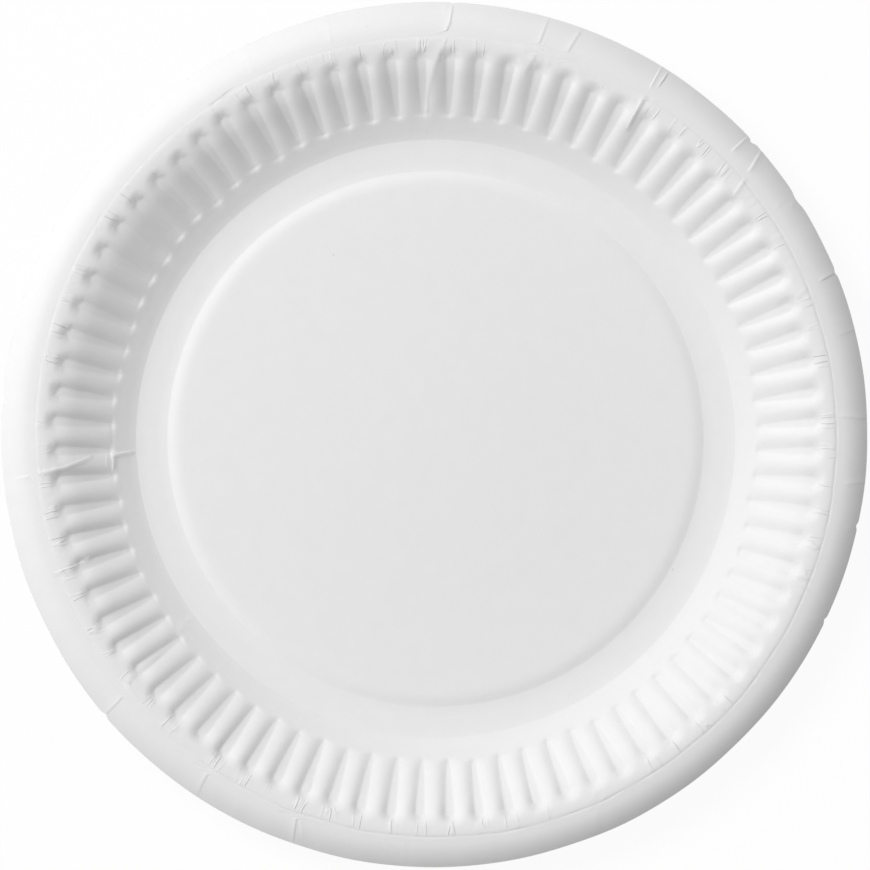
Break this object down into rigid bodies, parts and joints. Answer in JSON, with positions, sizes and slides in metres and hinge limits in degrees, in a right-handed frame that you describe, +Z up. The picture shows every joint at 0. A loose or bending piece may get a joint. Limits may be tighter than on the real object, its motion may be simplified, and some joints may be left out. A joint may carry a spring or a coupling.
{
  "type": "paper plate",
  "caption": "Round pressed paperboard plate with a raised centre panel, a fluted sloping wall and a rolled-down lip.",
  "frame": {"origin": "centre of the base ring's underside, on the table", "axes": "+Z up through the plate's axis, out of the food side; the plate is alike in X and Y"},
  "size_m": [0.23, 0.23, 0.015],
  "materials": {
    "paperboard": "smooth matte white paperboard, with a faint satin from its pressing"
  },
  "bodies": {
    "root": {"plate": "paperboard"}
  },
  "joints": []
}
